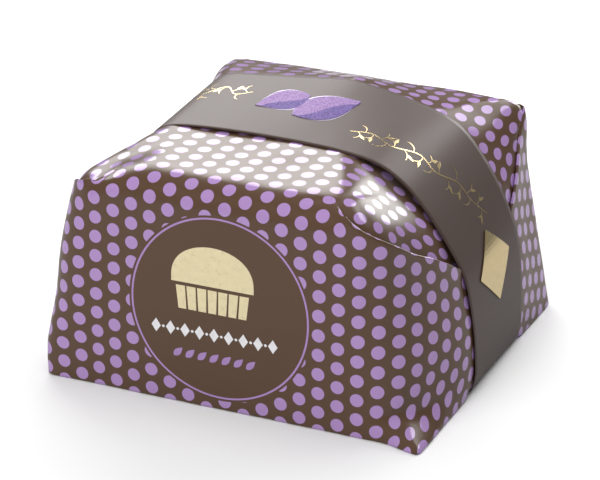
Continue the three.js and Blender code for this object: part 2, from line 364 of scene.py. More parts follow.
def walls(x, y, z):
    """How far a point is outside each wall: front, back, right, left."""
    above_middle = np.maximum(z - 60, 0)
    flare = FOOT_FLARE * ease(98, 126, x) * (1 - ease(0, 22, z))
    front = -y - (HALF_DEPTH - 0.03 * above_middle + flare)
    back = y - (HALF_DEPTH - 0.02 * above_middle)
    under_band = ease(-42, -34, y) * (1 - ease(50, 58, y))
    return front, back, x - right_wall(y, z, under_band), -x - left_wall(y, z, under_band)


print("between the walls at the foot, mm:", RIGHT_WALL + LEFT_WALL, "by", 2 * HALF_DEPTH)

# %% The whole body
RIGHT_SHOULDER = [(-130, 50), (-112, 62), (-95, 74), (-75, 86), (-50, 96), (-33, 98), (10, 80),
                  (50, 62), (84, 44), (105, 18), (130, 12)]
FRONT_RIDGE, BACK_RIDGE, LEFT_SHOULDER = 20.0, 14.0, 16.0
NEAREST, FARTHEST, HALVINGS = 5.0, 140.0, 34


def corner_softness(x, y, z):
    """How round the upright corners are: tight at the foot, and wider above it."""
    to_right, to_back = ease(-30, 30, x), ease(-30, 30, y)
    front_right = 3 + 19 * ease(0, 18, z)
    front_left = 5 + 23 * ease(10, 60, z)
    back_right = 6 + 4 * ease(0, 60, z) - 7 * ease(80, 128, z)
    back_left = 5 + 14 * ease(10, 60, z) - 13 * ease(80, 128, z)
    front = to_right * front_right + (1 - to_right) * front_left
    back = to_right * back_right + (1 - to_right) * back_left
    return (1 - to_back) * front + to_back * back


def body(x, y, z, inset=0.0, lift=0.0):
    """Below zero inside the wrapped body, above zero outside."""
    sides = np.array(walls(x, y, z))
    front, back, right, left = sides
    wall = soft_max(np.maximum(right, left), np.maximum(front, back), corner_softness(x, y, z)) + inset
    nearest = np.exp(np.clip((sides - sides.max(0)) / 12, -30, 0))
    front_ridge = FRONT_RIDGE - 9 * ease(58, 80, x)
    softness = front_ridge * nearest[0] + BACK_RIDGE * nearest[1]
    softness = softness + through(RIGHT_SHOULDER, y) * nearest[2] + LEFT_SHOULDER * nearest[3]
    return soft_max(wall, z - ceiling(x, y) - lift, softness / nearest.sum(0))


def cast(start, towards, inset=0.0, lift=0.0):
    """Walk out from each start until the body's surface is met, by halving."""
    near, far = np.full(start.shape[:-1], NEAREST), np.full(start.shape[:-1], FARTHEST)
    for _ in range(HALVINGS):
        middle = (near + far) / 2
        point = start + middle[..., None] * towards
        outside = body(point[..., 0], point[..., 1], point[..., 2], inset, lift) > 0
        far = np.where(outside, middle, far)
        near = np.where(outside, near, middle)
    return start + ((near + far) / 2)[..., None] * towards


probe = cast(np.array([[0.0, 0, 90]]), np.array([[0.0, 0, 1]]))
print("height over the middle, mm:", round(float(probe[0, 2]), 1))

# %% [markdown]
# ## The sheets of paper
#
# Round such a body the paper makes three visible sheets. The front sheet covers
# the front wall and turns both corners, and its free upper edges run down the
# side walls as slanting folds. The back sheet does the same from behind. The
# top sheet lies over the cake, is one piece with the other two along the middle
# of each ridge, and comes out from behind the slanting folds at the sides.
#
# Each sheet is a grid of rays, cast from a spine inside the body. A sheet that
# has to turn a corner gets a spine that turns too, so that its columns fan out.

# %% The spine that a wall sheet fans out from
SPINE_X, SPINE_Y, SPINE_Z = 70.0, 70.0, 90.0
CORNER_ARC, ROLL_ARC = 72.0, 50.0


def wall_ray(across, up, side):
    """The ray at a place on the front (side -1) or back (side 1) sheet."""
    turn = np.clip((np.abs(across) - SPINE_X) / CORNER_ARC, 0, 1) * np.pi / 2
    x = np.sign(across) * np.minimum(np.abs(across), SPINE_X)
    y = side * (SPINE_Y - np.maximum(np.abs(across) - SPINE_X - CORNER_ARC, 0))
    tilt = np.maximum(up - SPINE_Z, 0) / ROLL_ARC
    start = np.stack([x, y, np.minimum(up, SPINE_Z)], -1)
    level_x, level_y = np.sign(across) * np.sin(turn), side * np.cos(turn)
    towards = np.stack([level_x * np.cos(tilt), level_y * np.cos(tilt), np.sin(tilt)], -1)
    return start, towards

# %% The free edges of the front and back sheets
FRONT_EDGE = [(-216, 71), (-179, 92), (-142, 113), (-120, 121), (-108, 124.5), (-101, 126),
              (-96, 128.5), (-92, 131), (-88, 142), (-82, 144), (0, 144), (59, 144), (64, 142.6),
              (70, 137.2), (75, 133.8), (87, 128.4), (95, 125.8), (103, 123.4), (115, 119.5),
              (133, 111.5), (144, 105.5), (156, 96.7), (168, 88.8), (175, 84.3), (216, 60)]
BACK_EDGE = [(-210, 44), (-190, 60), (-162, 83), (-142, 99), (-125, 111), (-112, 118), (-103, 121),
             (-97, 125), (-91, 129), (-86, 142), (-80, 144), (0, 144), (80, 144), (86, 142), (91, 130),
             (95, 128), (100, 126), (103, 124.8), (112, 120.4), (125, 111.8), (135, 103.8), (142, 98),
             (162, 80), (190, 56), (210, 40)]
FRONT_JOIN, BACK_JOIN = (-88.0, 64.0), (-86.0, 86.0)
FRONT_REACH, BACK_REACH, COLUMN, FOOT_RISE = 216, 210, 2.0, 1.6
FREE_RISE, FREE_LIFT, BACK_TUCK = {-1: 28, 1: 20}, 30, 0.7


def sheet_grid(edge, join, side, reach, rows=74):
    """A wall sheet from its foot to its edge. Beyond the join the edge stands free."""
    across = np.arange(-reach, reach + COLUMN / 2, COLUMN)
    up = FOOT_RISE + np.linspace(0, 1, rows)[None, :] * (through(edge, across) - FOOT_RISE)[:, None]
    start, towards = wall_ray(np.repeat(across[:, None], rows, 1), up, side)
    free_right = ease(join[1] + 4, join[1] + FREE_RISE[side], across)
    free_left = ease(4 - join[0], 20 - join[0], -across)
    lift = FREE_LIFT * np.maximum(free_right, free_left)[:, None]
    under = BACK_TUCK * ease(176, 190, np.abs(across))[:, None] if side > 0 else 0.0
    return across, cast(start, towards, inset=under, lift=lift), towards


front_across, front_sheet, front_rays = sheet_grid(FRONT_EDGE, FRONT_JOIN, -1, FRONT_REACH)
back_across, back_sheet, back_rays = sheet_grid(BACK_EDGE, BACK_JOIN, 1, BACK_REACH)
print("front sheet", front_sheet.shape[:2], "back sheet", back_sheet.shape[:2])

# %% [markdown]
# The top sheet starts on the front sheet's last row, where the two are one
# piece. Beyond that stretch it starts a little lower, tucked in behind the
# slanting fold. It ends on the back sheet in the same way.

# %% The top sheet
TOP_HALF, SHOULDER_ARC, TOP_REACH = 60.0, 86.0, 190.0
TUCK, SLOW_FROM, TOP_INSET = 14.0, 100, 1.4


def spread(x, y, z, shape):
    """Three coordinates as one grid of points."""
    return np.stack([np.broadcast_to(c, shape) for c in (x, y, z)], -1)


def hidden_ray(edge, join, across, place, side):
    """The rays of a row that starts at a sheet's edge, and behind it where the edge is free."""
    tuck = TUCK * np.maximum(ease(join[1], join[1] + 14, across), ease(-join[0], -join[0] + 10, -across))
    return wall_ray(place, through(edge, place) - tuck, side)


def top_grid(rows=116):
    across = np.arange(-TOP_REACH, TOP_REACH + COLUMN / 2, COLUMN)
    v = np.linspace(0, 1, rows)[None, :]
    turn = np.clip((np.abs(across) - TOP_HALF) / SHOULDER_ARC, 0, 1)[:, None] * np.pi / 2
    x = np.clip(across, -TOP_HALF, TOP_HALF)[:, None]
    z = SPINE_Z - np.maximum(np.abs(across) - TOP_HALF - SHOULDER_ARC, 0)[:, None]
    shape = (len(across), rows)
    start = spread(x, SPINE_Y * (2 * v - 1), z, shape)
    towards = spread(np.sign(across)[:, None] * np.sin(turn), 0.0, np.cos(turn), shape)
    first = hidden_ray(FRONT_EDGE, FRONT_JOIN, across, across, -1)
    far = np.abs(across)
    slow = np.sign(across) * np.where(far > SLOW_FROM, SLOW_FROM + (far - SLOW_FROM) * 0.5, far)
    last = hidden_ray(BACK_EDGE, BACK_JOIN, across, slow, 1)
    at_first, at_last = (1 - ease(0, 0.3, v))[..., None], ease(0.7, 1, v)[..., None]
    middle = 1 - at_first - at_last
    start = middle * start + at_first * first[0][:, None] + at_last * last[0][:, None]
    towards = middle * towards + at_first * first[1][:, None] + at_last * last[1][:, None]
    towards /= np.linalg.norm(towards, axis=-1, keepdims=True)
    right = (1 - v) * ease(62, 71, across)[:, None] + v * ease(90, 104, across)[:, None]
    left = ease(90, 104, -across)[:, None]
    return across, cast(start, towards, inset=TOP_INSET * np.maximum(right, left)), towards


top_across, top_sheet, top_rays = top_grid()
print("top sheet", top_sheet.shape[:2], "highest, mm:", round(float(top_sheet[..., 2].max()), 1))

# %% [markdown]
# ## Laying the print on the paper
#
# The dots were printed while the paper was flat, and paper doesn't stretch. So
# every point of every sheet needs its place on the flat sheet. A projected or
# automatic map would stretch the dots round the corners. Here the sheets are
# unrolled instead: from a known column, each next column is laid down at its
# true distance, step by step, as one would unfold the paper on a table. Close to
# the slanting folds the columns of the top sheet run together, so there it is
# laid down row by row instead. Last, a few hundred small pulls even out what
# is left between neighbours.

# %% Unroll a grid
TURN_WINDOW = 8


def unit(rows):
    return rows / np.maximum(np.linalg.norm(rows, axis=-1, keepdims=True), 1e-9)


def steady(flat, column):
    """Keep the true spacing along a column, and only its slow turns."""
    steps = np.diff(flat, axis=0)
    weights = np.hanning(2 * TURN_WINDOW + 3)[1:-1]
    angle = np.pad(np.arctan2(steps[:, 0], steps[:, 1]), TURN_WINDOW, mode="edge")
    angle = np.convolve(angle, weights / weights.sum(), "valid")
    size = np.linalg.norm(np.diff(column, axis=0), axis=1)
    moves = size[:, None] * np.stack([np.sin(angle), np.cos(angle)], -1)
    line = np.cumsum(np.concatenate([[[0, 0]], moves]), 0)
    return line - line.mean(0) + flat.mean(0)


def unroll(grid, start, first):
    """Lay a grid flat, column by column, both ways from a column laid down first."""
    flat = np.zeros(grid.shape[:2] + (2,))
    flat[start] = first
    for step, stop in ((1, len(grid)), (-1, -1)):
        for i in range(start + step, stop, step):
            along = unit(np.gradient(grid[i - step], axis=0))
            move = grid[i] - grid[i - step]
            forward = (move * along).sum(-1)
            sideways = np.sqrt(np.maximum((move * move).sum(-1) - forward ** 2, 0))
            heading = unit(np.gradient(flat[i - step], axis=0))
            square = np.stack([heading[:, 1], -heading[:, 0]], -1) * step
            placed = flat[i - step] + forward[:, None] * heading + sideways[:, None] * square
            flat[i] = steady(placed, grid[i])
    return flat


def lengths(column, start=0):
    """The running length along a chain of points."""
    steps = np.linalg.norm(np.diff(column, axis=0), axis=1)
    return start + np.concatenate([[0], np.cumsum(steps)])


def upright(column, start):
    """A column laid straight up the middle of the flat sheet."""
    return np.stack([np.zeros(len(column)), lengths(column, start)], -1)


def column_at(across, place=0.0):
    return int(np.argmin(np.abs(across - place)))

# %% Even out a flat sheet
PULL = 0.11


def relax(flat, grid, held, rounds=400):
    """Even out what the unrolling left: pull every link towards its true length."""
    flat = flat.copy()
    every, tail, head = slice(None), slice(None, -1), slice(1, None)
    links = [((tail, every), (head, every)), ((every, tail), (every, head)),
             ((tail, tail), (head, head)), ((head, tail), (tail, head))]
    true = [np.linalg.norm(grid[a] - grid[b], axis=-1) for a, b in links]
    for _ in range(rounds):
        shift = np.zeros(flat.shape)
        for (a, b), length in zip(links, true):
            gap = flat[b] - flat[a]
            size = np.maximum(np.linalg.norm(gap, axis=-1), 1e-6)
            pull = gap * ((size - length) / size)[..., None]
            shift[a] += pull
            shift[b] -= pull
        flat += PULL * shift * ~held[..., None]
    return flat


def hold_middle(across, half, rows):
    """Mark the points near the middle, which stay where the unrolling laid them."""
    return np.repeat((np.abs(across) < half)[:, None], rows, 1)

# %% [markdown]
# The front sheet is unrolled first, from its middle column. The top sheet goes
# on from there, and its stretches next to the folds are laid down again row by
# row. What then differs along the ridge it shares with the front sheet is
# spread over its front half. The back sheet follows from the top sheet's end.

# %% The three flat sheets
TURN_FRONT, TURN_BACK = 34, 80

middle = column_at(front_across)
front_flat = unroll(front_sheet, middle, upright(front_sheet[middle], FOOT_RISE))
ridge_height = front_flat[middle, -1, 1]

middle, row_count = column_at(top_across), top_sheet.shape[1]
top_flat = unroll(top_sheet, middle, upright(top_sheet[middle], ridge_height))
rows = top_sheet.transpose(1, 0, 2)
front_rows = unroll(rows[TURN_FRONT::-1], 0, top_flat[:, TURN_FRONT])[::-1]
back_rows = unroll(rows[:TURN_BACK - 1:-1], row_count - TURN_BACK - 1, top_flat[:, TURN_BACK])[::-1]
beside = ease(42, 60, np.abs(top_across))[:, None, None]
top_flat[:, :TURN_FRONT + 1] += beside * (front_rows.transpose(1, 0, 2) - top_flat[:, :TURN_FRONT + 1])
top_flat[:, TURN_BACK:] += beside * (back_rows.transpose(1, 0, 2) - top_flat[:, TURN_BACK:])

shared = np.clip(top_across, *FRONT_JOIN)
ridge_below = front_flat[[column_at(front_across, a) for a in shared], -1]
mismatch = ridge_below - top_flat[[column_at(top_across, a) for a in shared], 0]
top_flat += mismatch[:, None] * (1 - ease(0, 0.5, np.linspace(0, 1, row_count)))[None, :, None]
held = hold_middle(top_across, 40, row_count)
held[:, 0] |= (top_across > FRONT_JOIN[0]) & (top_across < FRONT_JOIN[1])
top_flat = relax(top_flat, top_sheet, held)
print("print shift at the front ridge, mm:", round(float(np.abs(mismatch).max()), 2))

over = top_flat[middle, -1, 1]
middle = column_at(back_across)
back_flat = unroll(back_sheet[:, ::-1], middle, upright(back_sheet[middle][::-1], over))[:, ::-1]
back_flat = relax(back_flat, back_sheet, hold_middle(back_across, 60, back_sheet.shape[1]))
print("flat length over the top, mm:", round(float(back_flat[middle, 0, 1]), 1))

# %% [markdown]
# ## Small waves and creases
#
# Such paper is never quite flat: handling leaves long, shallow waves and a few
# sharp creases, and they are what makes its reflections lively. They are a
# function of the place on the flat sheet, so the three sheets agree about them
# along their shared ridges, and so does everything that is laid on the paper.

# %% Waves and creases
WAVE_COUNT, WAVE_HEIGHT = 14, 0.0016
DISC_CENTRE = (-5.6, 66)
chance = np.random.default_rng(7)
WAVE_TURN = chance.uniform(0, np.pi, WAVE_COUNT)
WAVE_PHASE = chance.uniform(0, 2 * np.pi, WAVE_COUNT)
WAVE_LENGTH = np.linspace(26, 95, WAVE_COUNT)
CREASES = [((90, 52), (87, 128), 0.7, 2.6), ((-70, 118), (-52, 141), 0.5, 2.0),
           ((-96, 60), (-100, 128), 0.5, 2.4), ((64, 146), (78, 200), 0.8, 3.5),
           ((118, 20), (109, 60), 0.5, 2.5), ((40, 143), (66, 150), 0.5, 2.2),
           ((-93, 150), (-88, 205), 0.8, 3.0), ((98, 8), (120, 26), 0.6, 3.0)]


def crumple(flat):
    """How far the paper stands off its ideal surface, in millimetres."""
    u, s = flat[..., 0], flat[..., 1]
    from_disc = np.hypot(u - DISC_CENTRE[0], s - DISC_CENTRE[1])
    calm = 1 - 0.75 * (1 - ease(45, 75, from_disc))
    calm *= 1 - 0.75 * ease(200, 214, s) * (1 - ease(296, 306, s)) - 0.7 * ease(150, 170, np.abs(u))
    height = np.zeros(u.shape)
    for turn, phase, length in zip(WAVE_TURN, WAVE_PHASE, WAVE_LENGTH):
        at = u * np.cos(turn) + s * np.sin(turn)
        height += WAVE_HEIGHT * length * np.sin(2 * np.pi * at / length + phase)
    height *= calm
    for (u0, s0), (u1, s1), depth, width in CREASES:
        run, rise = u1 - u0, s1 - s0
        t = np.clip(((u - u0) * run + (s - s0) * rise) / (run ** 2 + rise ** 2), 0, 1)
        away = np.hypot(u - u0 - t * run, s - s0 - t * rise)
        height -= depth * np.exp(-(away / width) ** 2) * np.sin(np.pi * np.clip(t, 0.04, 0.96)) ** 0.5
    return height


front_sheet = front_sheet + crumple(front_flat)[..., None] * front_rays
top_sheet = top_sheet + crumple(top_flat)[..., None] * top_rays
back_sheet = back_sheet + crumple(back_flat)[..., None] * back_rays
print("waves stand off by up to, mm:", round(float(np.abs(crumple(top_flat)).max()), 2))

# %% [markdown]
# ## From grids to one paper mesh
#
# The three grids, the rolled lips along the free edges and the folded foot
# become one mesh. Points that share a place are merged, and a thin wall gives
# the paper a real thickness.


# %% Gather grids into a mesh
class Sheets:
    """Grids of points in mm that will become one mesh, with their flat places."""

    def __init__(self):
        self.points, self.faces, self.flat = [], [], []

    def add(self, grid, flat, flip=False):
        base = len(self.points)
        rows = grid.shape[1]
        self.points += [tuple(p) for p in grid.reshape(-1, 3)]
        self.flat += [tuple(p) for p in flat.reshape(-1, 2)]
        for i in range(grid.shape[0] - 1):
            for j in range(rows - 1):
                a = base + i * rows + j
                quad = (a, a + rows, a + rows + 1, a + 1)
                self.faces.append(quad[::-1] if flip else quad)

    def build(self, name, weld=0.2):
        mesh = bpy.data.meshes.new(name)
        mesh.from_pydata([tuple(c * MM for c in p) for p in self.points], [], self.faces)
        layer = mesh.uv_layers.new(name="flat paper")
        for loop in mesh.loops:
            layer.data[loop.index].uv = [c * MM for c in self.flat[loop.vertex_index]]
        work = bmesh.new()
        work.from_mesh(mesh)
        bmesh.ops.remove_doubles(work, verts=work.verts, dist=weld * MM)
        loose = [f for f in work.faces if f.calc_area() < 1e-10]
        bmesh.ops.delete(work, geom=loose, context="FACES_ONLY")
        work.to_mesh(mesh)
        work.free()
        mesh.shade_smooth()
        return add_object(name, mesh)


wrap = Sheets()
wrap.add(front_sheet, front_flat)
wrap.add(top_sheet, top_flat)
wrap.add(back_sheet, back_flat, flip=True)
print("points in the three sheets:", len(wrap.points))

# %% [markdown]
# A free edge of gift paper is folded over, so that no raw cut shows. A strip
# that turns inwards and runs down behind the sheet gives the fold its round rim.

# %% Rolled lips along the free edges
LIP = [(0.0, 0.0), (0.35, 0.55), (0.95, 0.7), (1.45, 0.3), (1.6, -1.0), (1.9, -3.0), (2.8, -6.0)]


def lip(grid, flat, across, side):
    """Turn the edge of a sheet inwards, and follow it down behind the sheet."""
    _, towards = wall_ray(across, np.zeros(len(across)), side)
    edge, below = grid[:, -1], grid[:, -2]
    up = unit(edge - below)
    strips = [edge - inward * towards + rise * up for inward, rise in LIP]
    run = lengths(np.array(LIP))
    flat_up = unit(flat[:, -1] - flat[:, -2])
    flats = [flat[:, -1] + r * flat_up for r in run]
    return np.stack(strips, 1), np.stack(flats, 1)


WALL_SHEETS = [(front_sheet, front_flat, front_across, FRONT_JOIN, -1),
               (back_sheet, back_flat, back_across, BACK_JOIN, 1)]
for grid, flat, across, join, side in WALL_SHEETS:
    for free in (across >= join[1] + 10, across <= join[0] - 6):
        wrap.add(*lip(grid[free], flat[free], across[free], side), flip=side > 0)
print("points with the lips:", len(wrap.points))

# %% [markdown]
# At the foot the paper turns in, and four flaps are folded flat under the
# parcel: first those from front and back, then those from the two ends. The
# band runs through beneath them all.

# %% The foot and the folds underneath
FOOT = [(0.0, FOOT_RISE), (0.25, 0.7), (0.9, 0.25), (2.2, 0.2), (4.5, 0.75), (9.0, 1.15)]
BAND_RISE = 1.1


def foot(grid, flat, across, side):
    """Turn the lower edge of a wall sheet in under the parcel."""
    _, towards = wall_ray(across, np.zeros(len(across)), side)
    edge = grid[:, 0] * (1, 1, 0)
    y = edge[:, 1]
    over_band = BAND_RISE * ease(-44, -36, y) * (1 - ease(52, 60, y))
    rows, flats = [], []
    for (inward, z), run in zip(FOOT, lengths(np.array(FOOT))):
        point = edge - inward * towards
        point[:, 2] = np.minimum(z + over_band, FOOT_RISE) if inward else FOOT_RISE
        rows.append(point)
        flats.append(flat[:, 0] - (0, run))
    return np.stack(rows[::-1], 1), np.stack(flats[::-1], 1)


def under_flap(wide, narrow, start, stop, z, turned):
    """A flap that runs from start to stop along Y, or along X if it is turned."""
    across = np.linspace(-1, 1, 61)[:, None]
    run = np.linspace(0, 1, 31)[None, :]
    half = wide + (narrow - wide) * run
    side = across * half
    depth = start + (stop - start) * run + 0 * across
    sag = z + 0.12 * np.sin(side / 19 + depth / 23)
    flat = np.stack([side, -np.abs(depth - start)], -1)
    grid = np.stack([depth, side, sag] if turned else [side, depth, sag], -1)
    return grid, flat


# Each flap: half its width at the fold and at its tip, where both lie, height, turned.
FLAPS = [(118, 44, -109.5, -30, 1.62, False), (118, 44, 109.5, 26, 1.62, False),
         (104, 24, -121, -12, 1.3, True), (104, 24, 121, -4, 1.3, True)]
for grid, flat, across, _, side in WALL_SHEETS:
    wrap.add(*foot(grid, flat, across, side), flip=side > 0)
for wide, narrow, start, stop, z, turned in FLAPS:
    wrap.add(*under_flap(wide, narrow, start, stop, z, turned), flip=(start > 0) == turned)
paper = wrap.build("wrapping_paper_folded")
print("paper faces:", len(paper.data.polygons))

# %% [markdown]
# ## Dots on satin paper
#
# The paper is a brown, satin laminate, and the lilac dots are printed on it
# with a clear gloss varnish. The dots sit on a lattice whose every second row
# is shifted by half a step. The lattice is two plain grids laid into each
# other, so the distance to the nearest dot is the smaller of two wrapped
# distances. A plain disc on the front wall stays free of dots, inside a thin
# ring.

# %% Group: the printed dots
DOT_ACROSS, DOT_UP, DOT_RADIUS = 12.2 * MM, 6.2 * MM, 4.15 * MM
FIRST_COLUMN, FIRST_ROW = 8.2, -20.0
RING_RADIUS, RING_LINE = 57.5 * MM, 0.6 * MM


def printed_dots():
    group, inside, outside = new_group(
        "printed dots",
        [("Flat", "Vector", None), ("Radius", "Float", DOT_RADIUS)],
        [("Dots", "Float"), ("Ring", "Float")])
    cells = vectors(group, "MULTIPLY", inside["Flat"], (1 / DOT_ACROSS, 1 / DOT_UP, 0))
    distances = []
    for offset in ((FIRST_COLUMN, FIRST_ROW + 1, 0), (FIRST_COLUMN + 1, FIRST_ROW, 0)):
        node = group.nodes.new("ShaderNodeVectorMath")
        node.operation = "WRAP"
        feed(group, node.inputs[0], vectors(group, "ADD", cells, offset))
        node.inputs[1].default_value = (1, 1, 1)
        node.inputs[2].default_value = (-1, -1, -1)
        nearest = vectors(group, "MULTIPLY", node.outputs[0], (DOT_ACROSS, DOT_UP, 0))
        distances.append(vectors(group, "LENGTH", nearest))
    distance = maths(group, "SUBTRACT", maths(group, "MINIMUM", *distances), inside["Radius"])
    dots = step_down(group, distance, 0, 0.12 * MM)
    from_centre = vectors(group, "DISTANCE", inside["Flat"], (DISC_CENTRE[0] * MM, DISC_CENTRE[1] * MM, 0))
    clear = step_down(group, from_centre, RING_RADIUS + 2 * MM, 0.1 * MM)
    from_ring = maths(group, "ABSOLUTE", maths(group, "SUBTRACT", from_centre, RING_RADIUS))
    feed(group, outside["Dots"], maths(group, "MULTIPLY", dots, maths(group, "SUBTRACT", 1.0, clear)))
    feed(group, outside["Ring"], step_down(group, from_ring, RING_LINE, 0.1 * MM))
    return group


dots_group = printed_dots()
print("group:", dots_group.name)

# %% Material: wrapping paper
PAPER_BROWN, DOT_LILAC, RING_LILAC = (0.092, 0.050, 0.028), (0.38, 0.235, 0.49), (0.36, 0.22, 0.47)
SATIN, VARNISH, PAPER_THICKNESS = 0.28, 0.16, 0.25


def paper_material():
    material, tree, surface = new_material("printed wrapping paper")
    flat = drawn_place(tree, "flat paper")
    marks = use_group(tree, dots_group, Flat=flat)
    darker, lighter = (tuple(c * share for c in PAPER_BROWN) for share in (0.9, 1.1))
    ground = blend(tree, noise(tree, flat, 900, 3), darker, lighter)
    colour = blend(tree, marks["Dots"], ground, DOT_LILAC)
    feed(tree, surface.inputs["Base Color"], blend(tree, marks["Ring"], colour, RING_LILAC))
    feed(tree, surface.inputs["Roughness"], level(tree, marks["Dots"], SATIN, VARNISH))
    feed(tree, surface.inputs["Coat Weight"], level(tree, marks["Dots"], 0.0, 0.4))
    surface.inputs["Coat Roughness"].default_value = 0.03
    return material


paper.data.materials.append(paper_material())
thicken(paper, PAPER_THICKNESS, -1)
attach(paper, "root")
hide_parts("wrapping_paper")
print("paper thickness, mm:", PAPER_THICKNESS)

# %% [markdown]
# ## The card band
#
# A stiff band of uncoated card goes once round the package, from left to right
# and under its foot. It touches the paper only along the top and bows away from
# it at the sides. It is a ruled surface between two edge curves, each drawn
# through a few points and closed under the foot.

# %% The two edges of the band
BAND_FRONT, BAND_BACK = -33.5, 50.0
UNDER_RIGHT = [(0, 0.4), (100, 0.4), (119, 0.6)]
UNDER_LEFT = [(-126.4, 12), (-124.5, 2.7), (-119, 0.6), (-100, 0.4)]
FRONT_LINE = [(124.7, 2.7), (127.8, 13), (127.7, 25), (126, 45), (120, 75), (115, 85), (104, 102),
              (91, 119), (78, 132), (61, 141.5), (35, 145.8), (11, 147), (-23, 147.5), (-49, 147),
              (-70, 145.4), (-79, 143.5), (-86, 139.5), (-90.5, 132), (-98, 110), (-109, 76), (-119, 40)]
BACK_LINE = [(125, 3), (127, 12), (127.6, 25), (127, 43), (124, 69), (117, 91), (101, 120), (82, 141),
             (57, 150.5), (25, 157.6), (8.5, 159.2), (-26, 156.4), (-54, 153.8), (-71, 152),
             (-79, 149.5), (-86, 144.5), (-91.5, 136), (-99.5, 112), (-110.5, 76), (-119, 42)]


def slide(u, v, start, end, t):
    """From u at the start to v at the end, at the places t."""
    return ((end - t) * u + (t - start) * v) / (end - start)


def closed_curve(points, count):
    """Smooth a closed chain of points and space it evenly."""
    p = np.array(points, float)
    fine = []
    for i in range(len(p)):
        a, b, c, d = (p[(i + k) % len(p)] for k in (-1, 0, 1, 2))
        gaps = [np.linalg.norm(q - r) ** 0.5 for q, r in ((b, a), (c, b), (d, c))]
        k0, k1, k2, k3 = np.cumsum([0] + gaps)
        t = np.linspace(k1, k2, 24, endpoint=False)[:, None]
        ab, bc, cd = slide(a, b, k0, k1, t), slide(b, c, k1, k2, t), slide(c, d, k2, k3, t)
        fine.append(slide(slide(ab, bc, k0, k2, t), slide(bc, cd, k1, k3, t), k1, k2, t))
    fine = np.concatenate(fine + [p[:1]])
    run = lengths(fine)
    even = np.linspace(0, run[-1], count, endpoint=False)
    return np.stack([np.interp(even, run, fine[:, k]) for k in (0, 1)], -1), run[-1]


def band_grid(along=420, across=28):
    front, girth = closed_curve(UNDER_RIGHT + FRONT_LINE + UNDER_LEFT, along)
    back, _ = closed_curve(UNDER_RIGHT + BACK_LINE + UNDER_LEFT, along)
    t = np.linspace(0, 1, across)[None, :, None]
    xz = front[:, None] * (1 - t) + back[:, None] * t
    y = np.broadcast_to(BAND_FRONT + (BAND_BACK - BAND_FRONT) * t[..., 0], xz.shape[:2])
    return np.stack([xz[..., 0], y, xz[..., 1]], -1), girth


band_points, band_girth = band_grid()
print("band girth, mm:", round(band_girth, 1))

# %% The band as a mesh
BAND_THICKNESS = 0.5


def make_band():
    grid = np.concatenate([band_points, band_points[:1]])
    along = np.linspace(0, band_girth, len(grid))
    flat = np.stack(np.broadcast_arrays(along[:, None], grid[..., 1]), -1)
    sheets = Sheets()
    sheets.add(grid, flat, flip=True)
    band = sheets.build("card_band_printed")
    band.data.uv_layers[0].name = "band card"
    thicken(band, BAND_THICKNESS, -1)
    return band


band = make_band()
print("band faces:", len(band.data.polygons))

# %% [markdown]
# The card has a faint tooth, and its brown is printed as a screen of tiny dark
# points. The screen is the product of two slanting waves. It could be a picture
# of dots, but the waves stay sharp at any size.

# %% Material: band card
SCREEN_STEP = 0.95
CARD_DARK, CARD_LIGHT, SCREEN_INK = (0.056, 0.029, 0.021), (0.088, 0.050, 0.038), (0.030, 0.017, 0.013)


def band_material():
    material, tree, surface = new_material("uncoated band card", roughness=0.46, specular=0.75)
    place = drawn_place(tree, "band card")
    tooth = noise(tree, place, 1400)
    rule = math.pi / (SCREEN_STEP * MM)
    slants = [vectors(tree, "DOT_PRODUCT", place, (rule, way * rule, 0)) for way in (1, -1)]
    waves = [maths(tree, "SINE", slant) for slant in slants]
    points = step_down(tree, maths(tree, "MULTIPLY", *waves), -0.15, 0.25)
    ground = blend(tree, tooth, CARD_DARK, CARD_LIGHT)
    feed(tree, surface.inputs["Base Color"], blend(tree, points, ground, SCREEN_INK))
    bump(tree, surface, tooth, 0.05, 0.3)
    return material


band.data.materials.append(band_material())
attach(band, "root")
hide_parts("card_band")
print("screen step, mm:", SCREEN_STEP)

# %% [markdown]
# ## Inlays: foil, glitter and the tag
#
# The ornaments are stamped or glued on, so each is a thin plate of its own that
# follows the surface under it. Each is drawn flat as an outline, cut into small
# cells so that it can bend, and then laid on the band or on the front wall. A
# print in the material could show the same outlines, but a plate keeps its
# sharp edge, catches the light at its rim, and can have its own foil. The
# designs are plain pictures of the trade: a domed loaf, leaves and lozenges.

# %% Where the ornaments lie
band_low = band_points[:, 0, 2] < 100
band_top = int(np.argmin(np.abs(band_points[:, 0, 0]) + 1000 * band_low))


def on_band(along, y, lift=0.0):
    """A point on the band: along it to the right of the top's middle, and across."""
    count, width = band_points.shape[:2]
    place = np.clip(band_top - along / band_girth * count, 0, count - 1.001)
    share = np.clip((y - BAND_FRONT) / (BAND_BACK - BAND_FRONT), 0, 1) * (width - 1)
    i, j = int(place), min(int(share), width - 2)
    a, b = place - i, share - j
    (first, beside), (following, opposite) = band_points[i:i + 2, j:j + 2]
    out = unit(np.cross(following - first, beside - first))
    return (1 - a) * ((1 - b) * first + b * beside) + a * ((1 - b) * following + b * opposite) - lift * out


def on_front(u, s, lift=0.0):
    """A point on the front wall, from its place on the flat sheet."""
    i = int(np.clip(np.searchsorted(front_across, u) - 1, 0, len(front_across) - 2))
    first, following = (
        np.array([np.interp(s, front_flat[column, :, 1], front_sheet[column, :, k]) for k in range(3)])
        for column in (i, i + 1))
    t = (u - front_across[i]) / COLUMN
    return (1 - t) * first + t * following + lift * np.array([0, -1, 0])


print("tag centre on the band, mm:", on_band(159, 9).round(1))

# %% Lay outlines on a surface
OFF_CORNERS = 0.013


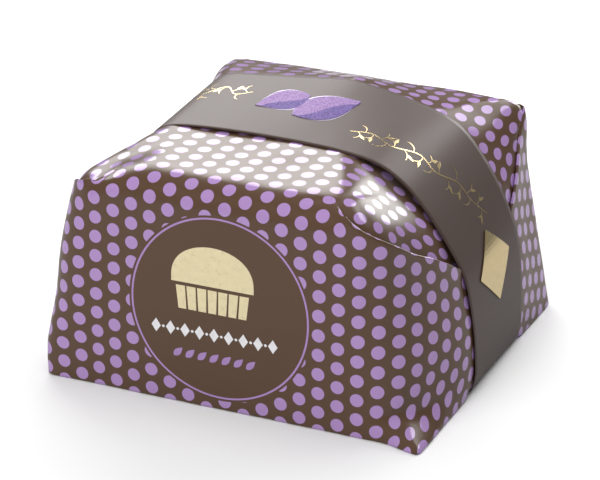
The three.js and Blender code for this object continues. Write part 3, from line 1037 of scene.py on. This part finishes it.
def inlay(name, outlines, place, material, lift, thickness, cell=3.0):
    """Cut flat outlines into cells, lay them on a surface and thicken them, all in mm."""
    work = bmesh.new()
    for outline in outlines:
        work.faces.new([work.verts.new((x, y, 0)) for x, y in outline])
    for normal in (Vector((1, 0, 0)), Vector((0, 1, 0))):
        values = [v.co.dot(normal) for v in work.verts]
        for cut in np.arange(math.ceil(min(values) / cell) * cell, max(values), cell):
            everything = work.verts[:] + work.edges[:] + work.faces[:]
            origin = normal * (cut + OFF_CORNERS)
            bmesh.ops.bisect_plane(work, geom=everything, plane_co=origin, plane_no=normal)
    flat = [(v.co.x * MM, v.co.y * MM) for v in work.verts]
    for v in work.verts:
        v.co = Vector(place(v.co.x, v.co.y, lift)) * MM
    mesh = bpy.data.meshes.new(name)
    work.to_mesh(mesh)
    work.free()
    layer = mesh.uv_layers.new(name="drawing")
    for loop in mesh.loops:
        layer.data[loop.index].uv = flat[loop.vertex_index]
    mesh.materials.append(material)
    thing = add_object(name, mesh)
    outward = sum((p.normal for p in mesh.polygons), Vector())
    middle = Vector(place(*np.mean(np.array(outlines[0]), 0), 0.0))
    if outward.dot(middle - Vector((0, 0, 70))) < 0:
        mesh.flip_normals()
    thicken(thing, thickness, 1)
    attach(thing, "root")
    return thing


# %% Outlines of strokes and leaves
def square_to(base, tip):
    """The direction square to a line, to its left."""
    return unit(np.array([-(tip - base)[1], (tip - base)[0]]))


def stroke(points, width, taper=0.5):
    """The outline of a pen stroke along some points, thin at both ends."""
    p = np.array(points, float)
    run = lengths(p) / lengths(p)[-1]
    ahead = unit(np.gradient(p, axis=0))
    side = np.stack([-ahead[:, 1], ahead[:, 0]], -1)
    half = width / 2 * (taper + (1 - taper) * np.sin(np.pi * run))[:, None]
    return np.concatenate([p + side * half, (p - side * half)[::-1]])


def leaf(base, tip, width, count=17):
    """A pointed leaf outline from its base to its tip."""
    base, tip = np.array(base, float), np.array(tip, float)
    t = np.linspace(0, 1, count)[:, None]
    rib, bulge = base + (tip - base) * t, width / 2 * np.sin(np.pi * t ** 0.8) * square_to(base, tip)
    return np.concatenate([rib + bulge, (rib - bulge)[-2:0:-1]])


print("points round a leaf:", len(leaf((0, 0), (10, 0), 3)))

# %% [markdown]
# Foil and ink share one recipe. A fine noise rubs the colour a little darker
# and the shine a little softer in places. Foil is a metal, ink is not, and the
# cream print with its faint shimmer lies between.

# %% Material: foil and ink
RUB = 0.25


def foil_material(name, colour, roughness, metallic=1.0):
    material, tree, surface = new_material(name, metallic=metallic)
    rub = noise(tree, drawn_place(tree, "drawing"), 260, 4)
    feed(tree, surface.inputs["Base Color"], blend(tree, rub, tuple(c * (1 - RUB) for c in colour), colour))
    feed(tree, surface.inputs["Roughness"], level(tree, rub, roughness * 0.7, roughness * 1.3))
    return material


gold_foil = foil_material("gold foil", (0.95, 0.76, 0.42), 0.24)
rim_foil = foil_material("pale leaf rim", (0.70, 0.66, 0.80), 0.4)
cream_foil = foil_material("cream print", (0.95, 0.83, 0.52), 0.3, 0.35)
white_ink = foil_material("white print", (0.82, 0.81, 0.83), 0.5, 0.0)
lilac_ink = foil_material("lilac print", (0.40, 0.24, 0.52), 0.4, 0.0)
print("materials so far:", len(bpy.data.materials))

# %% [markdown]
# The gold tag is a four-sided piece of foil card, glued on the right shoulder
# with one corner up. It is stiffer than the foil stamps, so it is thicker.

# %% The gold tag
TAG = [(137.5, 11), (158.5, 33), (182.5, 10), (159.5, -15)]


def rounded(outline, radius, count=5):
    """Round the corners of a convex outline."""
    points = []
    p = np.array(outline, float)
    for i, corner in enumerate(p):
        before, after = unit(p[i - 1] - corner), unit(p[(i + 1) % len(p)] - corner)
        for t in np.linspace(0, 1, count):
            a, b = corner + before * radius * (1 - t), corner + after * radius * t
            points.append(a * (1 - t) + b * t)
    return np.array(points)


tag = inlay("gold_tag_plate", [rounded(TAG, 0.8)], on_band, gold_foil, 0.25, 0.45, cell=2.5)
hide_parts("gold_tag")
print("tag faces:", len(tag.data.polygons))

# %% [markdown]
# A spray is a waving stem with tendrils to the left and right in turn, and a
# leaf on two of every three. Chance sets each tendril's angle, length and curl,
# from a fixed start, so the spray is the same each time.

# %% Foil sprays on the band
STEM_POINTS, TENDRIL_POINTS, LEAF_POINT = 90, 24, 9
STEM_WIDTH, TENDRIL_WIDTH, SPRAY_SIZE = 0.95, 0.7, 12
RIGHT_STEM = [(32, -8), (45, -4), (60, -9), (76, -1), (90, -2), (104, 10), (118, 13), (132, 22)]
LEFT_STEM = [(-47, 22), (-57, 17), (-67, 27), (-78, 17), (-88, 20), (-100, 10)]


def spray(spine, tendrils, seed):
    rng = np.random.default_rng(seed)
    t, knots = np.linspace(0, 1, STEM_POINTS), np.linspace(0, 1, len(spine))
    line = np.stack([through(list(zip(knots, places)), t) for places in zip(*spine)], -1)
    shapes = [stroke(line, STEM_WIDTH)]
    ahead = unit(np.gradient(line, axis=0))
    for n, at in enumerate(np.linspace(0.05, 0.95, tendrils)):
        i = int(at * (STEM_POINTS - 1))
        side = 1 if n % 2 else -1
        angle = math.atan2(ahead[i, 1], ahead[i, 0]) + side * rng.uniform(0.7, 1.1)
        reach = SPRAY_SIZE * rng.uniform(0.75, 1.15)
        bend = angle + side * np.linspace(0, 1, TENDRIL_POINTS) * rng.uniform(1.2, 2.6)
        path = line[i] + np.cumsum(np.stack([np.cos(bend), np.sin(bend)], 1) * reach / TENDRIL_POINTS, 0)
        shapes.append(stroke(path, TENDRIL_WIDTH, 0.35))
        if n % 3 != 1:
            base, way = path[LEAF_POINT], bend[LEAF_POINT] - side * 0.5
            tip = base + 0.55 * SPRAY_SIZE * np.array([math.cos(way), math.sin(way)])
            shapes.append(leaf(base, tip, 0.18 * SPRAY_SIZE))
    return shapes


for title, spine, tendrils, seed in (("foil_spray_right", RIGHT_STEM, 19, 3),
                                     ("foil_spray_left", LEFT_STEM, 9, 5)):
    spray_piece = inlay(title, spray(spine, tendrils, seed), on_band, gold_foil, 0.03, 0.07)
    print(title, len(spray_piece.data.polygons), "faces")

# %% [markdown]
# Two glitter leaves sit on the top of the band. Each has a pale printed edge, a
# lilac field and a darker violet side. Glitter is many tiny flakes that face
# different ways. The material gives each small cell its own tilt and roughness,
# and paints its colour lighter or darker as a painted glint, for flakes that
# catch the light more or less.


# %% Glitter leaves
def glitter_material(name, light, dark):
    material, tree, surface = new_material(name, specular=0.3)
    flakes = tree.nodes.new("ShaderNodeTexVoronoi")
    flakes.inputs["Scale"].default_value = 1500
    feed(tree, flakes.inputs["Vector"], drawn_place(tree, "drawing"))
    flake_glint_and_tilt = tree.nodes.new("ShaderNodeSeparateColor")
    feed(tree, flake_glint_and_tilt.inputs["Color"], flakes.outputs["Color"])
    # Painted glint: each flake's colour is made lighter or darker at random, standing in for flakes that
    # catch the light.
    feed(tree, surface.inputs["Base Color"], blend(tree, flake_glint_and_tilt.outputs["Red"], dark, light))
    feed(tree, surface.inputs["Roughness"], level(tree, flake_glint_and_tilt.outputs["Green"], 0.4, 0.75))
    bump(tree, surface, flake_glint_and_tilt.outputs["Blue"], 0.15, 0.6)
    return material


lilac_glitter = glitter_material("lilac glitter", (0.40, 0.26, 0.50), (0.20, 0.11, 0.31))
violet_glitter = glitter_material("violet glitter", (0.20, 0.13, 0.38), (0.06, 0.035, 0.17))
LEAVES = [((-9, 24), (-37, 4), 28), ((-9, -3), (23, 27.5), 30)]
LEAF_RIM = 1.8


def half_leaf(base, tip, width, dark_side):
    """The darker side of a leaf, from its midrib to its edge."""
    whole = leaf(base, tip, width)
    count = (len(whole) + 2) // 2
    edge = whole[:count] if dark_side > 0 else np.concatenate([whole[:1], whole[:count - 2:-1]])
    t = np.linspace(1, 0, count)[1:-1, None]
    base, tip = np.array(base, float), np.array(tip, float)
    sway = dark_side * width * (0.09 + 0.05 * np.sin(7 * t))
    return np.concatenate([edge, base + (tip - base) * t + square_to(base, tip) * sway])


wider = [leaf(base, tip, width + LEAF_RIM) for base, tip, width in LEAVES]
rims = inlay("leaf_rims", wider, on_band, rim_foil, 0.03, 0.08)
fields = inlay("leaf_fields", [leaf(*place) for place in LEAVES], on_band, lilac_glitter, 0.13, 0.12)
halves = [half_leaf(*LEAVES[0], 1), half_leaf(*LEAVES[1], -1)]
shades = inlay("leaf_shades", halves, on_band, violet_glitter, 0.27, 0.08)
print("leaves:", len(fields.data.polygons), "faces")

# %% [markdown]
# The disc on the front holds a domed loaf in its pleated mould, a row of
# lozenges and a row of small leaves.

# %% The emblem on the front
EMBLEM_X, EMBLEM_UP, DOME_HALF, DOME_RISE = -10.0, 80.0, 27, 22
PLEAT_STEP, PLEAT_SLANT = 7.0, 0.45
ROW_X, LOZENGE_UP, LOZENGE_STEP = -9, 49, 9.6


def loaf_emblem():
    cx, cy = EMBLEM_X, EMBLEM_UP
    dome = [(cx + DOME_HALF * math.cos(a), cy + 3 + DOME_RISE * math.sin(a) ** 0.85)
            for a in np.linspace(0, np.pi, 33)]
    shapes = [np.array(dome + [(cx - DOME_HALF, cy), (cx + DOME_HALF, cy)])]
    for k in range(-3, 4):
        top = cx + k * PLEAT_STEP
        low = top - k * PLEAT_SLANT
        pleat = [(low - 2.6, cy - 17), (low + 2.6, cy - 17), (top + 3, cy - 2.2), (top - 3, cy - 2.2)]
        shapes.append(np.array(pleat))
    return shapes


def lozenge(x, y, w, h):
    return np.array([(x - w / 2, y), (x, y - h / 2), (x + w / 2, y), (x, y + h / 2)])


def point(x, y, r):
    turn = np.linspace(0, 2 * np.pi, 20, endpoint=False)
    return np.stack([x + r * np.cos(turn), y + r * np.sin(turn)], -1)


emblem = inlay("emblem_loaf", loaf_emblem(), on_front, cream_foil, 0.02, 0.06, cell=4.0)
lozenges = []
for k in range(-4, 5):
    x = ROW_X + k * LOZENGE_STEP
    lozenges.append(lozenge(x, LOZENGE_UP, 6.2, 9.0))
    if k < 4:
        lozenges.append(point(x + LOZENGE_STEP / 2, LOZENGE_UP, 0.9))
lozenge_row = inlay("emblem_lozenges", lozenges, on_front, white_ink, 0.02, 0.06)
leaves_row = [leaf((x - 3, 31), (x + 3, 37), 4.2) for x in range(ROW_X - 24, ROW_X + 25, 8)]
leaf_row = inlay("emblem_leaves", leaves_row, on_front, lilac_ink, 0.02, 0.06)
print("emblem:", len(emblem.data.polygons), "faces")

# %% [markdown]
# ## What the paper hides
#
# Under the paper stand the cradle, the bag with its tie, the mould and the
# loaf, and a label is stuck under the foot. Their measured solids have the right
# shape already, so they stay as they are and get their own materials.


# %% Group: grain of board and crumb
def grain():
    group, inside, outside = new_group(
        "grain", [("Scale", "Float", 200.0), ("Dark", "Color", None), ("Light", "Color", None)],
        [("Color", "Color"), ("Height", "Float")])
    place = group.nodes.new("ShaderNodeTexCoord")
    height = noise(group, place.outputs["Object"], inside["Scale"], 5)
    feed(group, outside["Color"], blend(group, height, inside["Dark"], inside["Light"]))
    feed(group, outside["Height"], height)
    return group


grain_group = grain()
print("group:", grain_group.name)


# %% Materials of the inner pieces
def grainy(title, scale, dark, light, roughness, depth, metallic=0.0, alpha=1.0):
    material, tree, surface = new_material(title, roughness, metallic=metallic)
    marks = use_group(tree, grain_group, Scale=scale, Dark=dark, Light=light)
    feed(tree, surface.inputs["Base Color"], marks["Color"])
    surface.inputs["Alpha"].default_value = alpha
    bump(tree, surface, marks["Height"], depth)
    return material


# Each recipe: name, scale of the grain, dark and light colour, roughness, depth in mm, metallic, alpha.
INNER = {
    "loaf": ("baked crust", 60, (0.20, 0.075, 0.02), (0.48, 0.24, 0.08), 0.7, 0.8),
    "baking_mould": ("corrugated baking paper", 500, (0.16, 0.075, 0.035), (0.22, 0.11, 0.055), 0.8, 0.1),
    "card_cradle": ("grey board", 350, (0.36, 0.29, 0.21), (0.46, 0.38, 0.28), 0.85, 0.1),
    "base_label": ("plain label paper", 600, (0.76, 0.75, 0.72), (0.82, 0.81, 0.78), 0.6, 0.03),
    "clear_bag": ("clear film", 40, (0.85, 0.85, 0.85), (0.95, 0.95, 0.95), 0.12, 0.4, 0.0, 0.3),
    "bag_tie": ("tie metal", 800, (0.70, 0.62, 0.40), (0.85, 0.76, 0.50), 0.3, 0.02, 1.0),
}
for node, recipe in INNER.items():
    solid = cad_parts[node]
    solid.data.materials.clear()
    solid.data.materials.append(grainy(*recipe))
print("inner pieces:", ", ".join(INNER))
